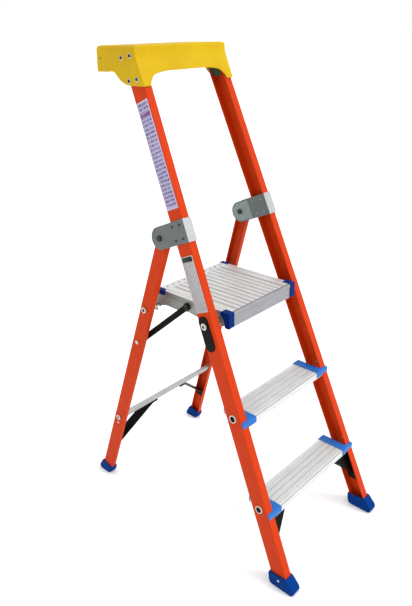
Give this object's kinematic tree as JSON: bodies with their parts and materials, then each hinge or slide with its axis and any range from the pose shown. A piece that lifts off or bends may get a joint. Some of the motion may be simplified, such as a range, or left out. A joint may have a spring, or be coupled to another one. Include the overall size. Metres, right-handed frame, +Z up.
{
  "type": "platform step ladder",
  "caption": "Folding step ladder with fibreglass rails, ribbed treads, a folding standing platform and a moulded top cap.",
  "frame": {"origin": "on the floor, at the centre of the open ladder's bounding box", "axes": "+Z up; the climbing side faces -Y; +X is to the right of a person climbing it"},
  "size_m": [0.5352, 0.9684, 1.588],
  "materials": {
    "fibreglass": "pultruded fibreglass, satin, faint lengthwise streaks",
    "cap_plastic": "moulded plastic, fine grain",
    "boot_rubber": "moulded rubber, matt",
    "blue_plastic": "moulded plastic, semi-gloss",
    "tread_cap_plastic": "moulded plastic, semi-gloss",
    "tread_aluminium": "extruded mill finish",
    "bracket_aluminium": "pressed sheet, satin",
    "black_steel": "powder coat, black",
    "grey_plate": "dark grey-green coating",
    "steel": "zinc plated",
    "label": null
  },
  "bodies": {
    "front_frame": {"top_cap": "cap_plastic", "lower_tread": "tread_aluminium", "upper_tread": "tread_aluminium", "front_rail_left": "fibreglass", "front_rail_right": "fibreglass", "front_boot_left": "boot_rubber", "front_boot_right": "boot_rubber", "cap_brace_left": "grey_plate", "cap_brace_right": "grey_plate", "cap_bolt_upper_left": "steel", "cap_bolt_upper_right": "steel", "cap_bolt_lower_left": "steel", "cap_bolt_lower_right": "steel", "lower_tread_cap_left": "tread_cap_plastic", "lower_tread_cap_right": "tread_cap_plastic", "upper_tread_cap_left": "tread_cap_plastic", "upper_tread_cap_right": "tread_cap_plastic", "lower_tread_bolt_left": "steel", "lower_tread_bolt_right": "steel", "upper_tread_bolt_left": "steel", "upper_tread_bolt_right": "steel", "tread_knee_left": "black_steel", "tread_knee_right": "black_steel", "hinge_bracket_left": "bracket_aluminium", "hinge_bracket_right": "bracket_aluminium", "hinge_pin_left": "steel", "hinge_pin_right": "steel", "pivot_plate_left": "black_steel", "pivot_plate_right": "black_steel", "platform_pivot_left": "steel", "platform_pivot_right": "steel", "upper_label_left": "label", "upper_label_right": "label", "lower_label_left": "label", "lower_label_right": "label"},
    "rear_frame": {"rear_brace": "tread_aluminium", "support_bar": "steel", "rear_rail_left": "fibreglass", "rear_rail_right": "fibreglass", "rear_boot_left": "boot_rubber", "rear_boot_right": "boot_rubber", "rear_knee_left": "black_steel", "rear_knee_right": "black_steel", "rear_brace_bolt_left": "steel", "rear_brace_bolt_right": "steel", "spreader_pin_left": "steel", "spreader_pin_right": "steel"},
    "platform": {"platform_deck": "tread_aluminium", "platform_fascia": "tread_aluminium", "platform_rear_strip": "tread_aluminium", "platform_side_left": "tread_aluminium", "platform_side_right": "tread_aluminium", "platform_cap_left": "blue_plastic", "platform_cap_right": "blue_plastic", "platform_rear_cap_left": "blue_plastic", "platform_rear_cap_right": "blue_plastic"},
    "spreader_left": {"spreader_left": "black_steel", "spreader_rivet_left": "steel"},
    "spreader_right": {"spreader_right": "black_steel", "spreader_rivet_right": "steel"}
  },
  "joints": [
    {"name": "rear_fold", "type": "hinge", "parent": "front_frame", "child": "rear_frame", "pos_m": [0, 0.09879, 1.05026], "axis": [-1, 0, 0], "range_deg": [0, 40]},
    {"name": "platform_fold", "type": "hinge", "parent": "front_frame", "child": "platform", "pos_m": [0, -0.09378, 0.81662], "axis": [1, 0, 0], "range_deg": [0, 46.8]},
    {"name": "spreader_left_fold", "type": "hinge", "parent": "rear_frame", "child": "spreader_left", "pos_m": [-0.1965, 0.22639, 0.65478], "axis": [-1, 0, 0], "range_deg": [0, 19.8]},
    {"name": "spreader_right_fold", "type": "hinge", "parent": "rear_frame", "child": "spreader_right", "pos_m": [0.1965, 0.22639, 0.65478], "axis": [-1, 0, 0], "range_deg": [0, 19.8]}
  ],
  "couplings": [
    {"joint": "platform_fold", "follows": "rear_fold", "ratio": 1.1586},
    {"joint": "spreader_left_fold", "follows": "rear_fold", "ratio": 0.48145},
    {"joint": "spreader_right_fold", "follows": "rear_fold", "ratio": 0.48145}
  ]
}
